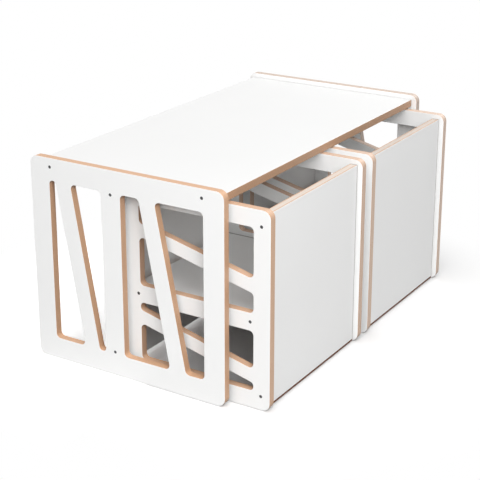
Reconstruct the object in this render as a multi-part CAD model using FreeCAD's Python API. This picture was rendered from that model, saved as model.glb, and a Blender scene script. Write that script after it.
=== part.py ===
import FreeCAD, Part
import math
import os

# A children's table with two cube chairs parked under it, all in millimetres.
# +X runs along the table, the chairs stand on the -Y side, +Z is up.
# The origin lies on the floor, at the middle of the box round the table and its parked chairs.

# Boards: white-laminated plywood with bare edges
board = 17.5
eased_edge = 1.0
eased_end = 2.0
outer_corner = 18.0
cut_corner = 10.0
narrow_round_share = 0.5

# Table
table_length = 900.0
table_depth = 482.0
table_height = 457.0
top_lip = 11.0
top_setback = 13.5
divider_to_rear = 208.0
divider_floor_gap = 18.0
panel_margin = 49.0
panel_bar_width = 39.0
front_narrow_share = 0.225
rear_narrow_share = 0.12

# Chairs: two alike, parked side by side against the divider
chair_depth = 351.0
chair_headroom = 3.0
chair_side_gap = 12.5
chair_between_gap = 31.0
chair_stop_gap = 0.9
chair_margin = 38.5
chair_bar_width = 30.0
seat_middle_height = 187.5
seat_setback = 10.0
back_setback = 12.0
back_floor_gap = 1.0
back_drop = 10.5
upper_narrow_share = 0.235
lower_narrow_share = 0.13

# Screws: one-piece connecting screws with a sunk head and a hex socket
screw_length = 50.0
screw_head_diameter = 7.0
screw_head_rim = 0.6
screw_shoulder_diameter = 5.0
screw_root_diameter = 4.0
screw_tip_length = 3.0
screw_tip_diameter = 2.0
screw_sink = 0.3
screw_clearance = 0.1
socket_flats = 3.0
socket_depth = 3.0
top_screw_inset = 38.0
divider_screw_from_foot = 36.0
divider_screw_from_head = 24.5
chair_screw_inset = 23.5
back_screw_from_foot = 29.5
seat_screw_from_back = 16.5
cut_overrun = 5.0

# Places along the table
left_end = -table_length / 2
right_end = table_length / 2
inner_length = table_length - 2 * board

# Places across the table, from the chairs' side to the rear
divider_front_from_table_front = table_depth - divider_to_rear - board / 2
chair_reach_in = divider_front_from_table_front - chair_stop_gap
overhang = max(chair_depth - chair_reach_in, 0)
table_front = overhang - (table_depth + overhang) / 2
table_rear = table_front + table_depth
divider_middle = table_rear - divider_to_rear
chair_inner_edge = table_front + chair_reach_in
chair_outer_edge = chair_inner_edge - chair_depth

# Levels
top_upper = table_height - top_lip
top_lower = top_upper - board
chair_height = top_lower - chair_headroom
chair_width = (inner_length - chair_between_gap - 2 * chair_side_gap) / 2


def point(y, z):
    return FreeCAD.Vector(0, y, z)


def rounded_outline(corners, radii):
    """A closed outline in the YZ plane: straight runs joined by an arc at each corner."""
    pieces = []
    count = len(corners)
    for i in range(count):
        corner = corners[i]
        radius = radii[i]
        to_last = (corners[i - 1] - corner).normalize()
        to_next = (corners[(i + 1) % count] - corner).normalize()
        half_angle = to_last.getAngle(to_next) / 2
        along = radius / math.tan(half_angle)
        inward = (to_last + to_next).normalize()
        centre = corner + inward * (radius / math.sin(half_angle))
        pieces.append((corner + to_last * along, centre - inward * radius, corner + to_next * along))
    edges = []
    for i in range(count):
        start, middle, end = pieces[i]
        edges.append(Part.Arc(start, middle, end).toShape())
        edges.append(Part.LineSegment(end, pieces[(i + 1) % count][0]).toShape())
    return Part.Wire(edges)


def rounded_rectangle(y_low, y_high, z_low, z_high, radius):
    corners = [point(y_low, z_low), point(y_high, z_low), point(y_high, z_high), point(y_low, z_high)]
    return rounded_outline(corners, [radius] * len(corners))


def cut_radius(end_width):
    """A cut-out's corner radius, which gives way where its end is narrow."""
    return min(cut_corner, narrow_round_share * end_width)


def upright_pair(y_low, y_high, z_low, z_high, narrow_share):
    """Two tall cut-outs with a bar between them that leans from the rear top to the front foot."""
    narrow = narrow_share * (y_high - y_low)
    wide = y_high - y_low - panel_bar_width - narrow
    radii = [cut_radius(narrow), cut_radius(narrow), cut_radius(wide), cut_radius(wide)]
    rear = [point(y_high, z_high), point(y_high - narrow, z_high),
            point(y_high - wide, z_low), point(y_high, z_low)]
    front = [point(y_low, z_low), point(y_low + narrow, z_low),
             point(y_low + wide, z_high), point(y_low, z_high)]
    return [rounded_outline(rear, radii), rounded_outline(front, radii)]


def level_pair(y_low, y_high, z_low, z_high, narrow_share):
    """Two long cut-outs with a bar between them that falls from the inner edge to the outer one."""
    narrow = narrow_share * (z_high - z_low)
    wide = z_high - z_low - chair_bar_width - narrow
    radii = [cut_radius(narrow), cut_radius(narrow), cut_radius(wide), cut_radius(wide)]
    above = [point(y_high, z_high), point(y_high, z_high - narrow),
             point(y_low, z_high - wide), point(y_low, z_high)]
    below = [point(y_low, z_low), point(y_low, z_low + narrow),
             point(y_high, z_low + wide), point(y_high, z_low)]
    return [rounded_outline(above, radii), rounded_outline(below, radii)]


def ease(solid, edges):
    return solid.makeFillet(eased_edge, edges)


def pierced_panel(x_low, outline, cuts):
    """An upright board across the table: an outline with cut-outs, eased along both faces."""
    face = Part.makeFace([outline] + cuts, "Part::FaceMakerBullseye")
    solid = face.extrude(FreeCAD.Vector(board, 0, 0))
    face_edges = [edge for edge in solid.Edges if edge.BoundBox.XLength < board / 2]
    solid = ease(solid, face_edges)
    solid.translate(FreeCAD.Vector(x_low, 0, 0))
    return solid


def plain_board(x_low, x_high, y_low, y_high, z_low, z_high):
    """A plain board between two panels. Its sawn ends are eased more, so each joint shows a shadow line."""
    corner = FreeCAD.Vector(x_low, y_low, z_low)
    length = x_high - x_low
    solid = Part.makeBox(length, y_high - y_low, z_high - z_low, corner)
    end_edges = [edge for edge in solid.Edges if edge.BoundBox.XLength < board and edge.Length > 2 * board]
    solid = solid.makeFillet(eased_end, end_edges)
    long_faces = [face for face in solid.Faces if face.BoundBox.XLength > board]
    narrow_faces = [face for face in long_faces if face.Area < 2 * board * length]
    narrow_rims = [edge for face in narrow_faces for edge in face.Edges]
    return ease(solid, narrow_rims)


def turned(profile):
    """A solid turned about the X axis from its half profile of (length, radius) pairs."""
    points = [FreeCAD.Vector(length, radius, 0) for length, radius in profile]
    face = Part.Face(Part.makePolygon(points + [points[0]]))
    return face.revolve(FreeCAD.Vector(0, 0, 0), FreeCAD.Vector(1, 0, 0), 360)


def screw_profile(head_start, clearance):
    """The screw's half profile along +X, its head's outer face at zero."""
    head = screw_head_diameter / 2
    shoulder = screw_shoulder_diameter / 2
    root = screw_root_diameter / 2
    shoulder_end = board - screw_sink
    return [
        (head_start, 0),
        (head_start, head + clearance),
        (screw_head_rim, head + clearance),
        (screw_head_rim + head - shoulder, shoulder + clearance),
        (shoulder_end, shoulder + clearance),
        (shoulder_end + shoulder - root, root + clearance),
        (screw_length - screw_tip_length, root + clearance),
        (screw_length + clearance, screw_tip_diameter / 2 + clearance),
        (screw_length + clearance, 0),
    ]


def screw():
    """A screw along +X with its head at zero and a hex socket in the head."""
    solid = turned(screw_profile(0, 0))
    socket_radius = socket_flats / 2 / math.cos(math.pi / 6)
    corners = []
    for i in range(6):
        angle = i * math.pi / 3
        across = socket_radius * math.cos(angle)
        upward = socket_radius * math.sin(angle)
        corners.append(FreeCAD.Vector(-cut_overrun, across, upward))
    hexagon = Part.Face(Part.makePolygon(corners + [corners[0]]))
    return solid.cut(hexagon.extrude(FreeCAD.Vector(cut_overrun + socket_depth, 0, 0)))


def screw_hole():
    """The room a screw needs in the panel and in the board's end, open past the panel's face."""
    return turned(screw_profile(-screw_sink - cut_overrun, screw_clearance))


def place(solid, outer_x, inward, y, z):
    """Set a screw or its hole through a panel's outer face, pointing in along X."""
    placed = solid.copy()
    if inward < 0:
        placed.rotate(FreeCAD.Vector(0, 0, 0), FreeCAD.Vector(0, 0, 1), 180)
    placed.translate(FreeCAD.Vector(outer_x + inward * screw_sink, y, z))
    return placed


def drill(solid, holes):
    return solid.cut(holes)


parts = {}
one_screw = screw()
one_hole = screw_hole()


def join(prefix, left_x, right_x, left_panel, right_panel, fixed_boards):
    """Screw two upright panels to the boards between them, and keep all the pieces."""
    left_holes = []
    right_holes = []
    for name, screws_name, solid, places in fixed_boards:
        ends = [("left", left_x, 1, left_holes), ("right", right_x, -1, right_holes)]
        board_holes = []
        for end, outer_x, inward, panel_holes in ends:
            holes = [place(one_hole, outer_x, inward, y, z) for y, z in places]
            screws = [place(one_screw, outer_x, inward, y, z) for y, z in places]
            panel_holes.extend(holes)
            board_holes.extend(holes)
            parts[prefix + screws_name + "_" + end] = Part.makeCompound(screws)
        parts[prefix + name] = drill(solid, board_holes)
    return drill(left_panel, left_holes), drill(right_panel, right_holes)


def table():
    outline = rounded_rectangle(table_front, table_rear, 0, table_height, outer_corner)
    middle_low = divider_middle - panel_margin / 2
    middle_high = divider_middle + panel_margin / 2
    z_low = panel_margin
    z_high = table_height - panel_margin
    cuts = upright_pair(table_front + panel_margin, middle_low, z_low, z_high, front_narrow_share)
    cuts += upright_pair(middle_high, table_rear - panel_margin, z_low, z_high, rear_narrow_share)
    left = pierced_panel(left_end, outline, cuts)
    right = pierced_panel(right_end - board, outline, cuts)

    inner_left = left_end + board
    inner_right = right_end - board
    top_front = table_front + top_setback
    top_rear = table_rear - top_setback
    top = plain_board(inner_left, inner_right, top_front, top_rear, top_lower, top_upper)
    top_middle = (top_lower + top_upper) / 2
    top_places = [(top_front + top_screw_inset, top_middle), (top_rear - top_screw_inset, top_middle)]

    divider = plain_board(inner_left, inner_right, divider_middle - board / 2,
                          divider_middle + board / 2, divider_floor_gap, top_lower)
    divider_places = [(divider_middle, divider_floor_gap + divider_screw_from_foot),
                      (divider_middle, top_lower - divider_screw_from_head)]

    boards = [("table_top", "top_screws", top, top_places),
              ("divider_panel", "divider_screws", divider, divider_places)]
    parts["end_panel_left"], parts["end_panel_right"] = join("", left_end, right_end, left, right, boards)


def chair(prefix, x_low):
    x_high = x_low + chair_width
    outline = rounded_rectangle(chair_outer_edge, chair_inner_edge, 0, chair_height, outer_corner)
    y_low = chair_outer_edge + chair_margin
    y_high = chair_inner_edge - chair_margin
    rail_low = seat_middle_height - chair_margin / 2
    rail_high = seat_middle_height + chair_margin / 2
    cuts = level_pair(y_low, y_high, rail_high, chair_height - chair_margin, upper_narrow_share)
    cuts += level_pair(y_low, y_high, chair_margin, rail_low, lower_narrow_share)
    left = pierced_panel(x_low, outline, cuts)
    right = pierced_panel(x_high - board, outline, cuts)

    inner_left = x_low + board
    inner_right = x_high - board
    back_outer = chair_outer_edge + back_setback
    back_inner = back_outer + board
    back_low = back_floor_gap
    back_high = chair_height - back_drop
    back = plain_board(inner_left, inner_right, back_outer, back_inner, back_low, back_high)
    back_middle = (back_outer + back_inner) / 2
    back_places = [(back_middle, back_low + back_screw_from_foot),
                   (back_middle, back_high - chair_screw_inset)]

    seat_front = chair_inner_edge - seat_setback
    seat = plain_board(inner_left, inner_right, back_inner, seat_front,
                       seat_middle_height - board / 2, seat_middle_height + board / 2)
    seat_places = [(back_inner + seat_screw_from_back, seat_middle_height),
                   (seat_front - chair_screw_inset, seat_middle_height)]

    boards = [("seat", "seat_screws", seat, seat_places), ("back", "back_screws", back, back_places)]
    sides = join(prefix, x_low, x_high, left, right, boards)
    parts[prefix + "side_left"], parts[prefix + "side_right"] = sides


table()
left_chair_x = left_end + board + chair_side_gap
chair("left_chair_", left_chair_x)
chair("right_chair_", left_chair_x + chair_width + chair_between_gap)

os.makedirs("parts", exist_ok=True)
for name, shape in parts.items():
    shape.exportStep("parts/" + name + ".step")
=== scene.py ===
import math

import bpy
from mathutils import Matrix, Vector


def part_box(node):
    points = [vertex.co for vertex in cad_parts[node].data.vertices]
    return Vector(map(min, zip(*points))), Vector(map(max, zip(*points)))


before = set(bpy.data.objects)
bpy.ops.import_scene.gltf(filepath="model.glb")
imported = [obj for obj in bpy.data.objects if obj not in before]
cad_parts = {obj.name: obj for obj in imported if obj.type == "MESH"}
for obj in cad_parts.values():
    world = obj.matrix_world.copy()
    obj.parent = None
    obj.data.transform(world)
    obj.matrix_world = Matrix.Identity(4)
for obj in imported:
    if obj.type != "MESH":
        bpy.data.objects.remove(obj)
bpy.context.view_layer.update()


# END PANELS
# Two upright boards carry the whole table. They are plywood with a thin white laminate pressed
# on both faces, sawn to shape with slanted windows, and left bare along every cut edge.

laminate_thickness = 0.00045
laminate_white = (0.86, 0.86, 0.855, 1)
laminate_shade = (0.835, 0.835, 0.83, 1)
laminate_gloss = (0.36, 0.44)
clouds_per_metre = 3.5
cloud_detail = 3
pearl_per_metre = 750
pearl_detail = 1
pearl_relief = 0.25

veneers_in_board = 13
outer_veneers = 2
veneer_middle = 0.5
veneer_pale = (0.785, 0.505, 0.325, 1)
veneer_tan = (0.685, 0.415, 0.257, 1)
# Cream that a board's core veneers are mixed towards, as a painted sheen on the edges
sheen_cream = (0.80, 0.745, 0.69, 1)
streaks_per_metre = 22
streak_detail = 5
streak_roughness = 0.62
streak_share = 0.7
layer_share = 0.3
end_grain_pale = (0.685, 0.41, 0.254, 1)
end_grain_brown = (0.565, 0.322, 0.186, 1)
speckles_per_metre = 900
speckle_detail = 2
glue_brown = (0.40, 0.218, 0.124, 1)
glue_line_share = 0.10
glue_line_strength = 0.6
edge_gloss = (0.40, 0.55)
# Painted shade on the ply edges by which way they face: upright edges darker, undersides darker still
painted_upright_shade = 0.83
painted_level_shade = 1.0
painted_under_shade = 0.35
# Very dark brown painted along the lower edge of the chair backs, as the shade of the gap beneath
foot_shade_brown = (0.12, 0.035, 0.008, 1)
foot_gloss = 0.9
# Painted shade along the sawn ends where one board butts against another
joint_shade_dark = (0.17, 0.15, 0.135, 1)
joint_shade_core_part = 3
relief_strength = 0.12
relief_height = 0.0004

# The far panel's edges are painted paler as a sheen, and painted darker as shade, than the near
# panel's
far_panel_sheen = 0.65
far_panel_upright_shade = 0.68
far_panel_level_shade = 0.84


class Shading:
    """Short ways to add the nodes of one material and wire them up."""

    def __init__(self, name):
        self.material = bpy.data.materials.new(name)
        self.material.use_nodes = True
        self.tree = self.material.node_tree
        self.shader = self.tree.nodes["Principled BSDF"]

    def plug(self, source, socket):
        if isinstance(source, bpy.types.NodeSocket):
            self.tree.links.new(source, socket)
        else:
            socket.default_value = source

    def add(self, kind, inputs, output=0, **settings):
        node = self.tree.nodes.new(kind)
        for key, value in settings.items():
            setattr(node, key, value)
        for key, value in inputs.items():
            self.plug(value, node.inputs[key])
        return node.outputs[output]

    def split(self, vector):
        node = self.tree.nodes.new("ShaderNodeSeparateXYZ")
        self.plug(vector, node.inputs[0])
        return node.outputs

    def math(self, operation, first, second=0.0):
        return self.add("ShaderNodeMath", {0: first, 1: second}, operation=operation)

    def blend(self, share, first, second):
        node = self.tree.nodes.new("ShaderNodeMix")
        node.data_type = "RGBA"
        colours = [socket for socket in node.inputs if socket.type == "RGBA"]
        self.plug(share, node.inputs[0])
        self.plug(first, colours[0])
        self.plug(second, colours[1])
        return [socket for socket in node.outputs if socket.type == "RGBA"][0]

    def mix(self, share, first, second):
        return self.add("ShaderNodeMix", {0: share, 2: first, 3: second}, data_type="FLOAT")

    def level(self, share, first, second):
        return self.add("ShaderNodeMapRange", {"Value": share, "To Min": first, "To Max": second})

    def noise(self, place, scale, detail, roughness=0.55):
        inputs = {"Vector": place, "Scale": scale, "Detail": detail, "Roughness": roughness}
        return self.add("ShaderNodeTexNoise", inputs)


def laminated_board(node, thin_axis, joint_shade_width=0.0, sheen=0.0, shaded_foot_height=0.0,
                    upright_shade=painted_upright_shade, level=painted_level_shade):
    """White laminate over both faces of a board, and plywood layers along its edges."""
    low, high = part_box(node)
    thickness = high[thin_axis] - low[thin_axis]
    veneer = (thickness - 2 * laminate_thickness) / veneers_in_board
    look = Shading(node + "_laminated_ply")
    place = look.add("ShaderNodeTexCoord", {}, "Object")
    axes = look.split(place)

    # How deep a point lies in the board, counted in veneers from the lower laminate
    depth = look.math("SUBTRACT", axes[thin_axis], low[thin_axis] + laminate_thickness)
    in_veneers = look.math("DIVIDE", depth, veneer)
    layer = look.math("FLOOR", in_veneers)
    within = look.math("FRACT", in_veneers)
    from_middle = look.math("ABSOLUTE", look.math("SUBTRACT", within, veneer_middle))
    glue = look.math("GREATER_THAN", from_middle, veneer_middle - glue_line_share / 2)
    across = look.math("PINGPONG", layer, 1)
    below_core = look.math("LESS_THAN", in_veneers, 0)
    above_core = look.math("GREATER_THAN", in_veneers, veneers_in_board)
    white = look.math("MAXIMUM", below_core, above_core)

    # Long grain runs in streaks along the board, end grain shows as fine speckles
    stretch = [streaks_per_metre] * 3
    stretch[thin_axis] = 1 / veneer
    streak_place = look.add("ShaderNodeVectorMath", {0: place, 1: stretch}, operation="MULTIPLY")
    streaks = look.noise(streak_place, 1.0, streak_detail, streak_roughness)
    speckles = look.noise(place, speckles_per_metre, speckle_detail)
    layer_noise = look.add("ShaderNodeTexWhiteNoise", {"W": layer}, "Value", noise_dimensions="1D")
    layer_tone = look.math("MULTIPLY", layer_noise, layer_share)
    streak_mix = {0: streaks, 1: streak_share, 2: layer_tone}
    streak_tone = look.add("ShaderNodeMath", streak_mix, operation="MULTIPLY_ADD")
    long_grain = look.blend(streak_tone, veneer_pale, veneer_tan)
    end_grain = look.blend(speckles, end_grain_pale, end_grain_brown)
    wood = look.blend(across, long_grain, end_grain)
    glued = look.blend(look.math("MULTIPLY", glue, glue_line_strength), wood, glue_brown)

    # A painted sheen: on a board given one, the core veneers are mixed towards cream, between outer
    # veneers that keep their tan
    from_top = look.math("SUBTRACT", veneers_in_board, in_veneers)
    from_face = look.math("MINIMUM", in_veneers, from_top)
    core = look.math("GREATER_THAN", from_face, outer_veneers)
    edge = look.blend(look.math("MULTIPLY", core, sheen), glued, sheen_cream)

    # Painted shade by which way an edge faces: level edges keep their tone, upright ones are painted
    # darker, and undersides darker still
    facing = look.split(look.add("ShaderNodeTexCoord", {}, "Normal"))
    facing_shade = look.level(facing["Z"], upright_shade, level)
    down = look.math("MULTIPLY", facing["Z"], -1.0)
    painted_tone = look.math("MULTIPLY", facing_shade, look.level(down, 1.0, painted_under_shade))
    edge = look.add("ShaderNodeVectorMath", {0: edge, "Scale": painted_tone}, operation="SCALE")

    # The laminate is even, with faint clouds and a fine pearl texture
    clouds = look.noise(place, clouds_per_metre, cloud_detail)
    sheet = look.blend(clouds, laminate_white, laminate_shade)
    pearl = look.noise(place, pearl_per_metre, pearl_detail)
    colour = look.blend(white, edge, sheet)
    gloss = look.mix(white, look.level(streaks, *edge_gloss), look.level(clouds, *laminate_gloss))

    if shaded_foot_height:
        # A dark brown band is painted along the lower edge as the shade of the gap beneath it
        in_foot_shade = look.math("LESS_THAN", axes["Z"], low[2] + shaded_foot_height)
        colour = look.blend(in_foot_shade, colour, foot_shade_brown)
        gloss = look.mix(in_foot_shade, gloss, foot_gloss)
    if joint_shade_width:
        # Where the board butts against another, painted shade darkens each sawn end and fades out a
        # little way from it
        from_left = look.math("SUBTRACT", axes["X"], low[0])
        from_right = look.math("SUBTRACT", high[0], axes["X"])
        from_end = look.math("MINIMUM", from_left, from_right)
        fade = {"Value": from_end, "From Min": joint_shade_width / joint_shade_core_part, "From Max": joint_shade_width,
                "To Min": 1.0, "To Max": 0.0}
        in_joint_shade = look.add("ShaderNodeMapRange", fade)
        colour = look.blend(in_joint_shade, colour, joint_shade_dark)

    relief = look.mix(white, streaks, look.math("MULTIPLY", pearl, pearl_relief))
    bump = {"Strength": relief_strength, "Distance": relief_height, "Height": relief}
    look.plug(colour, look.shader.inputs["Base Color"])
    look.plug(gloss, look.shader.inputs["Roughness"])
    look.plug(look.add("ShaderNodeBump", bump), look.shader.inputs["Normal"])
    return look.material


def dress(node, material):
    """Give a piece of the frame its finish."""
    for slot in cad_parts[node].material_slots:
        slot.material = material


dress("end_panel_left", laminated_board("end_panel_left", 0))
dress("end_panel_right", laminated_board("end_panel_right", 0, sheen=far_panel_sheen,
                                         upright_shade=far_panel_upright_shade, level=far_panel_level_shade))


# TABLE TOP AND DIVIDER
# The worktop lies between the end panels, a finger's width under their upper edges, and the
# divider stands lengthwise under it. Both are plain laminated boards screwed at their ends.

# Painted shade along the ends of the top and the divider where they butt against the end panels
table_joint_shade_width = 0.003
# The top's upright edges are painted darker still, as shade
top_upright_shade = 0.74

dress("table_top", laminated_board("table_top", 2, table_joint_shade_width, upright_shade=top_upright_shade))
dress("divider_panel", laminated_board("divider_panel", 1, table_joint_shade_width))


# CHAIRS
# Two cube chairs are parked under the top. Each is four laminated boards held by screws: two
# pierced sides, a back set in from their edges, and a seat that sits low one way up and higher
# when the chair is turned over.

# Painted shade along the seat's and the back's ends where they butt against the sides
seat_joint_shade_width = 0.007
back_joint_shade_width = 0.0045
# The backs' and the sides' edges get a painted sheen, stronger on the farther boards
back_sheen = 0.75
# The backs' lowest strip is painted dark as the shade beneath them
back_shaded_foot_height = 0.005
# The right chair's back has its top edge painted darker, as shade
back_level_shades = {"left_chair_back": 0.96, "right_chair_back": 0.84}
side_sheens = {"left_chair_side_left": 0.1, "left_chair_side_right": 0.3,
                 "right_chair_side_left": 0.35, "right_chair_side_right": 0.5}

for side, sheen in side_sheens.items():
    dress(side, laminated_board(side, 0, sheen=sheen))
for seat in ["left_chair_seat", "right_chair_seat"]:
    dress(seat, laminated_board(seat, 2, seat_joint_shade_width))
for back, painted_tone in back_level_shades.items():
    dress(back, laminated_board(back, 1, back_joint_shade_width, back_sheen, back_shaded_foot_height, level=painted_tone))


# SCREWS
# One-piece connecting screws hold every board. Their heads are dark plated steel, sunk level
# with the laminate, with a hex socket for the key.

steel_dark = (0.075, 0.075, 0.08, 1)
steel_worn = (0.16, 0.16, 0.165, 1)
steel_gloss = (0.32, 0.5)
steel_metallic = 0.85
turning_marks_per_metre = 1600
turning_mark_detail = 3
turning_mark_strength = 0.15
turning_mark_height = 0.0002


def screw_steel():
    """Dark plated steel with fine marks from turning."""
    look = Shading("dark_screw_steel")
    place = look.add("ShaderNodeTexCoord", {}, "Object")
    marks = look.noise(place, turning_marks_per_metre, turning_mark_detail)
    bump = {"Strength": turning_mark_strength, "Distance": turning_mark_height, "Height": marks}
    look.plug(look.blend(marks, steel_dark, steel_worn), look.shader.inputs["Base Color"])
    look.plug(look.level(marks, *steel_gloss), look.shader.inputs["Roughness"])
    look.shader.inputs["Metallic"].default_value = steel_metallic
    look.plug(look.add("ShaderNodeBump", bump), look.shader.inputs["Normal"])
    return look.material


steel = screw_steel()
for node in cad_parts:
    if "_screws_" in node:
        dress(node, steel)


# FLOOR
# A plain pale floor that runs out of sight. It keeps the soft shadows near the object, is seen
# brighter behind the divider, and turns to plain white further off, like a lit studio sweep.

floor_reach = 14.0
floor_drop = 0.0007
floor_spread_white = 0.47
floor_front_white = 0.88
floor_rear_white = 1.8
rear_from = -0.02
rear_to = 0.05
shadow_reach = 0.47
white_from = 0.77
plain_white = (1, 1, 1, 1)
seen_strength = 1.0


def seen_ray(tree):
    """1 for what the camera sees, straight on or mirrored, and 0 for light that spreads."""
    rays = tree.nodes.new("ShaderNodeLightPath")
    total = rays.outputs["Is Camera Ray"]
    for kind in ["Is Glossy Ray", "Is Transmission Ray"]:
        node = tree.nodes.new("ShaderNodeMath")
        node.operation = "MAXIMUM"
        tree.links.new(total, node.inputs[0])
        tree.links.new(rays.outputs[kind], node.inputs[1])
        total = node.outputs[0]
    return total


def pale_floor():
    """A matt floor near the object that glows plain white further off."""
    look = Shading("pale_floor")
    look.tree.nodes.remove(look.shader)
    seen = seen_ray(look.tree)
    place = look.add("ShaderNodeTexCoord", {}, "Object")
    rear_span = {"Value": look.split(place)["Y"], "From Min": rear_from, "From Max": rear_to,
                 "To Min": floor_front_white, "To Max": floor_rear_white}
    seen_white = look.add("ShaderNodeMapRange", rear_span, interpolation_type="SMOOTHSTEP")
    white = look.level(seen, floor_spread_white, seen_white)
    matt = look.add("ShaderNodeBsdfDiffuse", {"Color": white})
    distance = look.add("ShaderNodeVectorMath", {0: place}, "Value", operation="LENGTH")
    far_span = {"Value": distance, "From Min": shadow_reach, "From Max": white_from}
    far = look.add("ShaderNodeMapRange", far_span, interpolation_type="SMOOTHSTEP")
    share = look.math("MULTIPLY", far, seen)
    glow = look.add("ShaderNodeEmission", {"Color": plain_white, "Strength": seen_strength})
    mixed = look.add("ShaderNodeMixShader", {0: share, 1: matt, 2: glow})
    look.plug(mixed, look.tree.nodes["Material Output"].inputs["Surface"])
    return look.material


bpy.ops.mesh.primitive_plane_add(size=2 * floor_reach, location=(0, 0, -floor_drop))
floor = bpy.context.object
floor.name = "floor"
floor.data.materials.append(pale_floor())


# LIGHT
# Soft studio light: a dim even surround, a wide soft light from the upper left, a box low at
# the front left, a larger one high on the right and a faint one behind the table.

surround_strength = 0.15
upper_left_strength = 2.36
upper_left_angle = 65
upper_left_from = (-0.87, -0.3, 1)
front_watts = 21.3
front_size = 1.0
front_place = (-1.45, -1.5, 1.35)
right_watts = 24
right_size = 1.4
right_place = (2.2, -0.6, 1.9)
rear_watts = 11
rear_size = 1.6
rear_place = (-0.6, 2.4, 2.0)
lit_middle = (-0.2, 0, 0.25)

world = bpy.data.worlds.new("studio_surround")
bpy.context.scene.world = world
world.use_nodes = True
surround = world.node_tree.nodes["Background"]
surround.inputs["Color"].default_value = plain_white
strength = world.node_tree.nodes.new("ShaderNodeMapRange")
strength.inputs["To Min"].default_value = surround_strength
strength.inputs["To Max"].default_value = seen_strength
world.node_tree.links.new(seen_ray(world.node_tree), strength.inputs["Value"])
world.node_tree.links.new(strength.outputs[0], surround.inputs["Strength"])


def add_lamp(name, kind, energy, place, aim):
    """Hang a lamp at a place and point it at its aim."""
    lamp = bpy.data.lights.new(name, kind)
    lamp.energy = energy
    holder = bpy.data.objects.new(name, lamp)
    holder.location = place
    holder.rotation_euler = (Vector(aim) - Vector(place)).to_track_quat("-Z", "Y").to_euler()
    bpy.context.scene.collection.objects.link(holder)
    return lamp


upper_left = add_lamp("upper_left_light", "SUN", upper_left_strength, upper_left_from, (0, 0, 0))
upper_left.angle = math.radians(upper_left_angle)
front = add_lamp("front_box", "AREA", front_watts, front_place, lit_middle)
front.size = front_size
right = add_lamp("right_box", "AREA", right_watts, right_place, lit_middle)
right.size = right_size
rear = add_lamp("rear_box", "AREA", rear_watts, rear_place, lit_middle)
rear.size = rear_size


# CAMERA
# It stands where the photograph was taken from, looking down at the near end of the table, with
# the lens shifted a little so that the uprights stay nearly parallel.

camera_place = (-2.3692, -1.4288, 1.2266)
camera_azimuth = -58.09
camera_elevation = 18.06
level_tilt = 90
focal_pixels = 1264.7
picture_pixels = 480
axis_above_middle_pixels = 60
sensor_millimetres = 36

lens = bpy.data.cameras.new("camera")
lens.sensor_width = sensor_millimetres
lens.lens = focal_pixels / picture_pixels * lens.sensor_width
lens.shift_y = -axis_above_middle_pixels / picture_pixels
camera = bpy.data.objects.new("camera", lens)
camera.location = camera_place
camera.rotation_euler = (math.radians(level_tilt - camera_elevation), 0, math.radians(camera_azimuth))
bpy.context.scene.collection.objects.link(camera)
bpy.context.scene.camera = camera

bpy.context.scene.view_settings.view_transform = "Standard"
